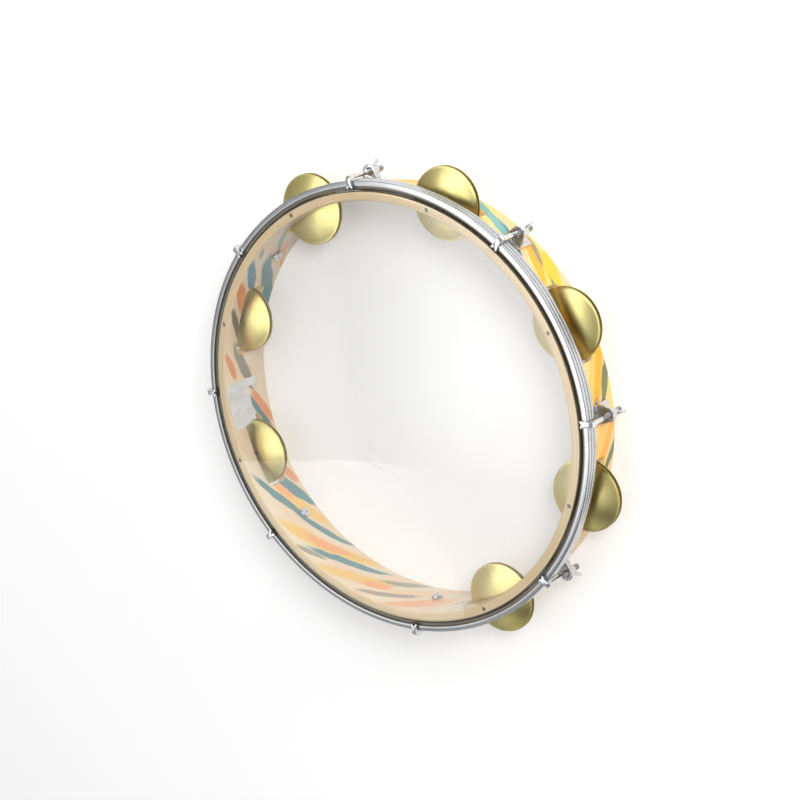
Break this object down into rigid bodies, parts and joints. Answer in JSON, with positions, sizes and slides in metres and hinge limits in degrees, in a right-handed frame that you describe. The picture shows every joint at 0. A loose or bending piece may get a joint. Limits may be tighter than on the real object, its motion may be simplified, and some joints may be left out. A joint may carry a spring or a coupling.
{
  "type": "pandeiro",
  "caption": "Shallow wooden frame drum with a clear tensioned head, a ridged steel hoop on hooks with wing nuts, and paired brass jingles in slots round its shell.",
  "frame": {"origin": "on the drum's axis, at the plane of its open back edge, on which it lies", "axes": "+Z along the drum's axis towards the head; +X and +Y in the plane of the back edge, with the tension station nearest +X at 3 degrees from it"},
  "size_m": [0.3374, 0.3371, 0.0477],
  "materials": {
    "plywood": "light plywood, clad inside and outside with a soft streaked laminate",
    "clear_film": "clear glossy film",
    "hoop_aluminium": "black anodised section",
    "chromed_steel": "bright chrome",
    "zinc_plate": "bright zinc plate",
    "pin_steel": "plain steel wire",
    "brass": "satin brass"
  },
  "bodies": {
    "drum": {"shell": "plywood", "head_film": "clear_film", "flesh_hoop": "hoop_aluminium", "counterhoop": "chromed_steel", "lug_1": "zinc_plate", "lug_screw_1": "zinc_plate", "lug_2": "zinc_plate", "lug_screw_2": "zinc_plate", "lug_3": "zinc_plate", "lug_screw_3": "zinc_plate", "lug_4": "zinc_plate", "lug_screw_4": "zinc_plate", "lug_5": "zinc_plate", "lug_screw_5": "zinc_plate", "lug_6": "zinc_plate", "lug_screw_6": "zinc_plate", "lug_7": "zinc_plate", "lug_screw_7": "zinc_plate", "lug_8": "zinc_plate", "lug_screw_8": "zinc_plate", "jingle_pin_1": "pin_steel", "jingle_pin_2": "pin_steel", "jingle_pin_3": "pin_steel", "jingle_pin_4": "pin_steel", "jingle_pin_5": "pin_steel", "jingle_pin_6": "pin_steel", "jingle_pin_7": "pin_steel"},
    "hook_1": {"hook_1": "chromed_steel"},
    "wing_nut_1": {"wing_nut_1": "zinc_plate"},
    "hook_2": {"hook_2": "chromed_steel"},
    "wing_nut_2": {"wing_nut_2": "zinc_plate"},
    "hook_3": {"hook_3": "chromed_steel"},
    "wing_nut_3": {"wing_nut_3": "zinc_plate"},
    "hook_4": {"hook_4": "chromed_steel"},
    "wing_nut_4": {"wing_nut_4": "zinc_plate"},
    "hook_5": {"hook_5": "chromed_steel"},
    "wing_nut_5": {"wing_nut_5": "zinc_plate"},
    "hook_6": {"hook_6": "chromed_steel"},
    "wing_nut_6": {"wing_nut_6": "zinc_plate"},
    "hook_7": {"hook_7": "chromed_steel"},
    "wing_nut_7": {"wing_nut_7": "zinc_plate"},
    "hook_8": {"hook_8": "chromed_steel"},
    "wing_nut_8": {"wing_nut_8": "zinc_plate"},
    "jingle_front_1": {"jingle_front_1": "brass"},
    "jingle_back_1": {"jingle_back_1": "brass"},
    "jingle_front_2": {"jingle_front_2": "brass"},
    "jingle_back_2": {"jingle_back_2": "brass"},
    "jingle_front_3": {"jingle_front_3": "brass"},
    "jingle_back_3": {"jingle_back_3": "brass"},
    "jingle_front_4": {"jingle_front_4": "brass"},
    "jingle_back_4": {"jingle_back_4": "brass"},
    "jingle_front_5": {"jingle_front_5": "brass"},
    "jingle_back_5": {"jingle_back_5": "brass"},
    "jingle_front_6": {"jingle_front_6": "brass"},
    "jingle_back_6": {"jingle_back_6": "brass"},
    "jingle_front_7": {"jingle_front_7": "brass"},
    "jingle_back_7": {"jingle_back_7": "brass"}
  },
  "joints": [
    {"name": "wing_nut_1_spin", "type": "hinge", "parent": "drum", "child": "wing_nut_1", "pos_m": [-0.01129, 0.16151, 0.0215], "axis": [0, 0, -1], "range_deg": [0, 1543]},
    {"name": "hook_1_slide", "type": "slide", "parent": "drum", "child": "hook_1", "axis": [0, 0, 1], "range_m": [0, 0.003]},
    {"name": "wing_nut_2_spin", "type": "hinge", "parent": "drum", "child": "wing_nut_2", "pos_m": [0.10407, 0.12402, 0.0215], "axis": [0, 0, -1], "range_deg": [0, 1543]},
    {"name": "hook_2_slide", "type": "slide", "parent": "drum", "child": "hook_2", "axis": [0, 0, 1], "range_m": [0, 0.003]},
    {"name": "wing_nut_3_spin", "type": "hinge", "parent": "drum", "child": "wing_nut_3", "pos_m": [0.16168, 0.00847, 0.0215], "axis": [0, 0, -1], "range_deg": [0, 1543]},
    {"name": "hook_3_slide", "type": "slide", "parent": "drum", "child": "hook_3", "axis": [0, 0, 1], "range_m": [0, 0.003]},
    {"name": "wing_nut_4_spin", "type": "hinge", "parent": "drum", "child": "wing_nut_4", "pos_m": [0.12219, -0.10622, 0.0215], "axis": [0, 0, -1], "range_deg": [0, 1543]},
    {"name": "hook_4_slide", "type": "slide", "parent": "drum", "child": "hook_4", "axis": [0, 0, 1], "range_m": [0, 0.003]},
    {"name": "wing_nut_5_spin", "type": "hinge", "parent": "drum", "child": "wing_nut_5", "pos_m": [0.00847, -0.16168, 0.0215], "axis": [0, 0, -1], "range_deg": [0, 1543]},
    {"name": "hook_5_slide", "type": "slide", "parent": "drum", "child": "hook_5", "axis": [0, 0, 1], "range_m": [0, 0.003]},
    {"name": "wing_nut_6_spin", "type": "hinge", "parent": "drum", "child": "wing_nut_6", "pos_m": [-0.12032, -0.10833, 0.0215], "axis": [0, 0, -1], "range_deg": [0, 1543]},
    {"name": "hook_6_slide", "type": "slide", "parent": "drum", "child": "hook_6", "axis": [0, 0, 1], "range_m": [0, 0.003]},
    {"name": "wing_nut_7_spin", "type": "hinge", "parent": "drum", "child": "wing_nut_7", "pos_m": [-0.1619, 0, 0.0215], "axis": [0, 0, -1], "range_deg": [0, 1543]},
    {"name": "hook_7_slide", "type": "slide", "parent": "drum", "child": "hook_7", "axis": [0, 0, 1], "range_m": [0, 0.003]},
    {"name": "wing_nut_8_spin", "type": "hinge", "parent": "drum", "child": "wing_nut_8", "pos_m": [-0.11936, 0.10938, 0.0215], "axis": [0, 0, -1], "range_deg": [0, 1543]},
    {"name": "hook_8_slide", "type": "slide", "parent": "drum", "child": "hook_8", "axis": [0, 0, 1], "range_m": [0, 0.003]},
    {"name": "jingle_front_1_slide", "type": "slide", "parent": "drum", "child": "jingle_front_1", "axis": [0, 0, 1], "range_m": [-0.0008, 0.0022]},
    {"name": "jingle_back_1_slide", "type": "slide", "parent": "drum", "child": "jingle_back_1", "axis": [0, 0, 1], "range_m": [-0.0022, 0.0008]},
    {"name": "jingle_front_2_slide", "type": "slide", "parent": "drum", "child": "jingle_front_2", "axis": [0, 0, 1], "range_m": [-0.0008, 0.0022]},
    {"name": "jingle_back_2_slide", "type": "slide", "parent": "drum", "child": "jingle_back_2", "axis": [0, 0, 1], "range_m": [-0.0022, 0.0008]},
    {"name": "jingle_front_3_slide", "type": "slide", "parent": "drum", "child": "jingle_front_3", "axis": [0, 0, 1], "range_m": [-0.0008, 0.0022]},
    {"name": "jingle_back_3_slide", "type": "slide", "parent": "drum", "child": "jingle_back_3", "axis": [0, 0, 1], "range_m": [-0.0022, 0.0008]},
    {"name": "jingle_front_4_slide", "type": "slide", "parent": "drum", "child": "jingle_front_4", "axis": [0, 0, 1], "range_m": [-0.0008, 0.0022]},
    {"name": "jingle_back_4_slide", "type": "slide", "parent": "drum", "child": "jingle_back_4", "axis": [0, 0, 1], "range_m": [-0.0022, 0.0008]},
    {"name": "jingle_front_5_slide", "type": "slide", "parent": "drum", "child": "jingle_front_5", "axis": [0, 0, 1], "range_m": [-0.0008, 0.0022]},
    {"name": "jingle_back_5_slide", "type": "slide", "parent": "drum", "child": "jingle_back_5", "axis": [0, 0, 1], "range_m": [-0.0022, 0.0008]},
    {"name": "jingle_front_6_slide", "type": "slide", "parent": "drum", "child": "jingle_front_6", "axis": [0, 0, 1], "range_m": [-0.0008, 0.0022]},
    {"name": "jingle_back_6_slide", "type": "slide", "parent": "drum", "child": "jingle_back_6", "axis": [0, 0, 1], "range_m": [-0.0022, 0.0008]},
    {"name": "jingle_front_7_slide", "type": "slide", "parent": "drum", "child": "jingle_front_7", "axis": [0, 0, 1], "range_m": [-0.0008, 0.0022]},
    {"name": "jingle_back_7_slide", "type": "slide", "parent": "drum", "child": "jingle_back_7", "axis": [0, 0, 1], "range_m": [-0.0022, 0.0008]}
  ],
  "couplings": [
    {"joint": "wing_nut_1_spin", "follows": "hook_1_slide", "rad_per_m": 8976},
    {"joint": "wing_nut_2_spin", "follows": "hook_2_slide", "rad_per_m": 8976},
    {"joint": "wing_nut_3_spin", "follows": "hook_3_slide", "rad_per_m": 8976},
    {"joint": "wing_nut_4_spin", "follows": "hook_4_slide", "rad_per_m": 8976},
    {"joint": "wing_nut_5_spin", "follows": "hook_5_slide", "rad_per_m": 8976},
    {"joint": "wing_nut_6_spin", "follows": "hook_6_slide", "rad_per_m": 8976},
    {"joint": "wing_nut_7_spin", "follows": "hook_7_slide", "rad_per_m": 8976},
    {"joint": "wing_nut_8_spin", "follows": "hook_8_slide", "rad_per_m": 8976}
  ]
}
